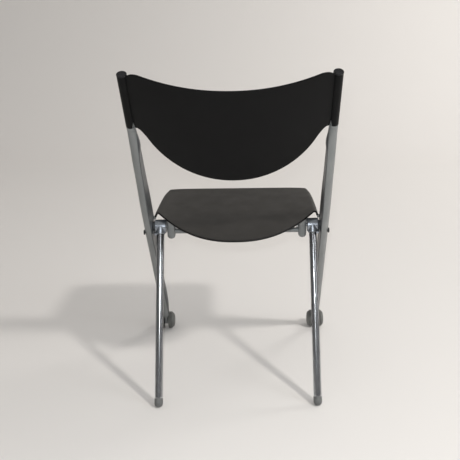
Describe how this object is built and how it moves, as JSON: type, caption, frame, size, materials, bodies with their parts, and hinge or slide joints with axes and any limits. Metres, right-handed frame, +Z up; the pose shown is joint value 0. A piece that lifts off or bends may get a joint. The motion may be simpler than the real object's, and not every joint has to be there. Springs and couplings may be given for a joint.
{
  "type": "folding chair",
  "caption": "Folding chair with leaning posts, wrap-round black back shell, tip-up dished seat, chromed rear legs and twin wheels at the front.",
  "frame": {"origin": "middle of the chair's outer box, on the floor", "axes": "+Z up, the sitter faces -Y, +X on the sitter's left"},
  "size_m": [0.5028, 0.5088, 0.8387],
  "materials": {
    "grey_paint": "satin grey powder coat",
    "hub_metal": "satin metallic",
    "chrome": "bright",
    "plain_steel": "zinc plated",
    "black_shell": "satin moulded",
    "seat_plastic": "satin moulded",
    "dark_plastic": "matt",
    "grey_plastic": "matt moulded",
    "wheel_tread": "matt"
  },
  "bodies": {
    "frame": {"post_left": "grey_paint", "post_right": "grey_paint", "post_collar_left": "grey_paint", "post_collar_right": "grey_paint", "back_shell": "black_shell", "back_cap_left": "black_shell", "back_cap_right": "black_shell", "caster_bracket_left": "grey_paint", "caster_bracket_right": "grey_paint", "axle_left": "plain_steel", "axle_right": "plain_steel", "pivot_pin_left": "plain_steel", "pivot_pin_right": "plain_steel", "pivot_insert_left": "plain_steel", "pivot_insert_right": "plain_steel", "pivot_washer_left": "dark_plastic", "pivot_washer_right": "dark_plastic", "stop_pin_left": "dark_plastic", "stop_pin_right": "dark_plastic", "stop_bush_left": "dark_plastic", "stop_bush_right": "dark_plastic", "seat_rest_left": "grey_paint", "seat_rest_right": "grey_paint"},
    "seat": {"seat_shell": "seat_plastic", "seat_tie_bar": "grey_paint", "seat_bracket_left": "grey_paint", "seat_bracket_right": "grey_paint", "seat_screw_rear_left": "plain_steel", "seat_screw_rear_right": "plain_steel", "seat_screw_front_left": "plain_steel", "seat_screw_front_right": "plain_steel"},
    "leg_left": {"leg_hub_left": "hub_metal", "rear_leg_left": "chrome", "rear_foot_left": "grey_plastic"},
    "caster_outer_left": {"wheel_outer_left": "grey_plastic", "tread_outer_left": "wheel_tread"},
    "caster_inner_left": {"wheel_inner_left": "grey_plastic", "tread_inner_left": "wheel_tread"},
    "leg_right": {"leg_hub_right": "hub_metal", "rear_leg_right": "chrome", "rear_foot_right": "grey_plastic"},
    "caster_outer_right": {"wheel_outer_right": "grey_plastic", "tread_outer_right": "wheel_tread"},
    "caster_inner_right": {"wheel_inner_right": "grey_plastic", "tread_inner_right": "wheel_tread"}
  },
  "joints": [
    {"name": "seat_fold", "type": "hinge", "parent": "frame", "child": "seat", "pos_m": [0, -0.01622, 0.408], "axis": [-1, 0, 0], "range_deg": [0, 105]},
    {"name": "rear_leg_fold_left", "type": "hinge", "parent": "frame", "child": "leg_left", "pos_m": [0, -0.01622, 0.408], "axis": [-1, 0, 0], "range_deg": [0, 50]},
    {"name": "wheel_spin_outer_left", "type": "hinge", "parent": "frame", "child": "caster_outer_left", "pos_m": [0.226, -0.2294, 0.025], "axis": [1, 0, 0], "continuous": true},
    {"name": "wheel_spin_inner_left", "type": "hinge", "parent": "frame", "child": "caster_inner_left", "pos_m": [0.226, -0.2294, 0.025], "axis": [1, 0, 0], "continuous": true},
    {"name": "rear_leg_fold_right", "type": "hinge", "parent": "frame", "child": "leg_right", "pos_m": [0, -0.01622, 0.408], "axis": [-1, 0, 0], "range_deg": [0, 50]},
    {"name": "wheel_spin_outer_right", "type": "hinge", "parent": "frame", "child": "caster_outer_right", "pos_m": [-0.226, -0.2294, 0.025], "axis": [1, 0, 0], "continuous": true},
    {"name": "wheel_spin_inner_right", "type": "hinge", "parent": "frame", "child": "caster_inner_right", "pos_m": [-0.226, -0.2294, 0.025], "axis": [1, 0, 0], "continuous": true}
  ],
  "couplings": [
    {"joint": "rear_leg_fold_left", "follows": "seat_fold", "ratio": 0.47619},
    {"joint": "rear_leg_fold_right", "follows": "seat_fold", "ratio": 0.47619}
  ]
}
